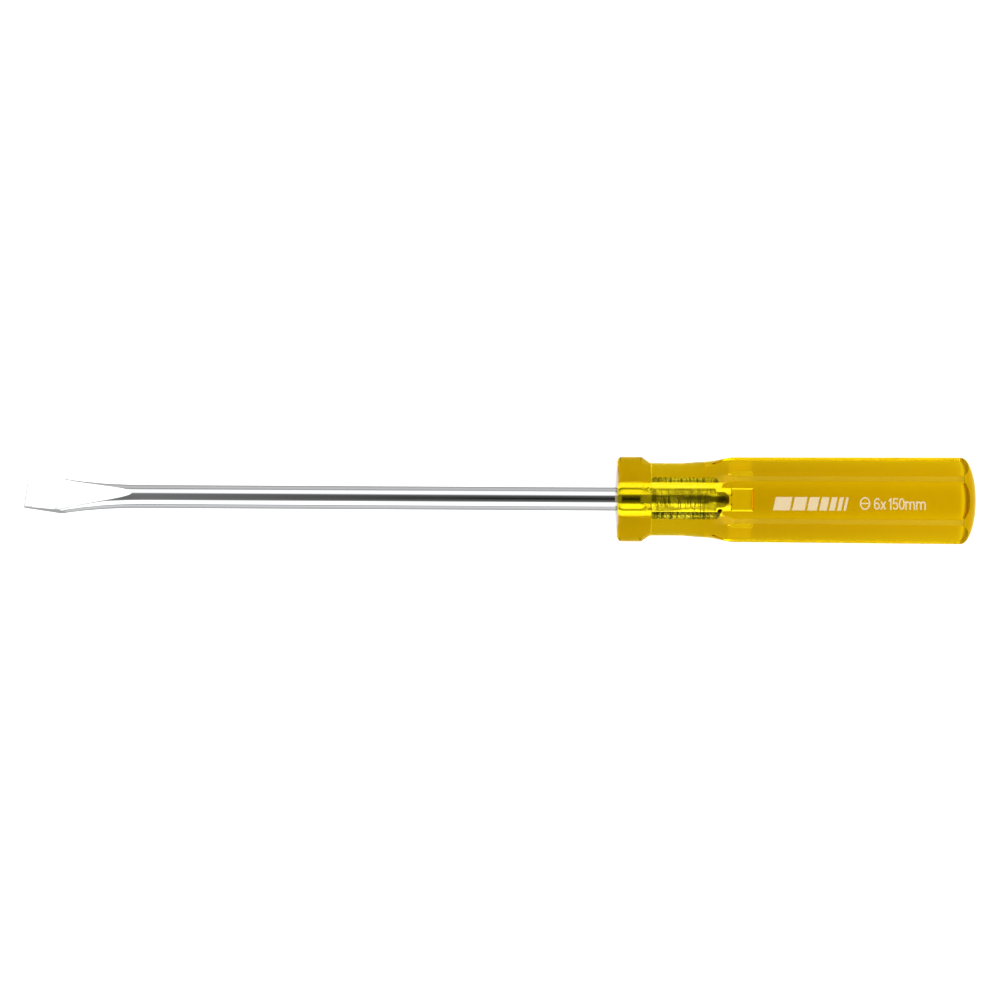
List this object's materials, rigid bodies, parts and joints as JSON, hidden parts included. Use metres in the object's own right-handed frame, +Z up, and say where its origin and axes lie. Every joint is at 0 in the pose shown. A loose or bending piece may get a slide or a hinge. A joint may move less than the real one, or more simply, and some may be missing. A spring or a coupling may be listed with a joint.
{
  "type": "slotted screwdriver",
  "caption": "Slotted screwdriver: a long chromed round blade with a flared flat tip, in a translucent amber handle with a collar, waisted neck, hexagonal grip and domed butt.",
  "frame": {"origin": "centre of the blade's flat end face, on the tool's axis", "axes": "+X from the blade tip to the butt of the handle along the tool's axis, +Z up, normal to the handle flat that carries the marking, +Y across"},
  "size_m": [0.2417, 0.022, 0.0216],
  "materials": {
    "blade_chrome": "bright chrome plate over ground steel, ground faces at the tip",
    "handle_acetate": "clear amber yellow cellulose acetate, polished",
    "marking_foil": "hot stamped cream foil, satin"
  },
  "bodies": {
    "root": {"blade": "blade_chrome", "handle": "handle_acetate", "foil_marking": "marking_foil"}
  },
  "joints": []
}
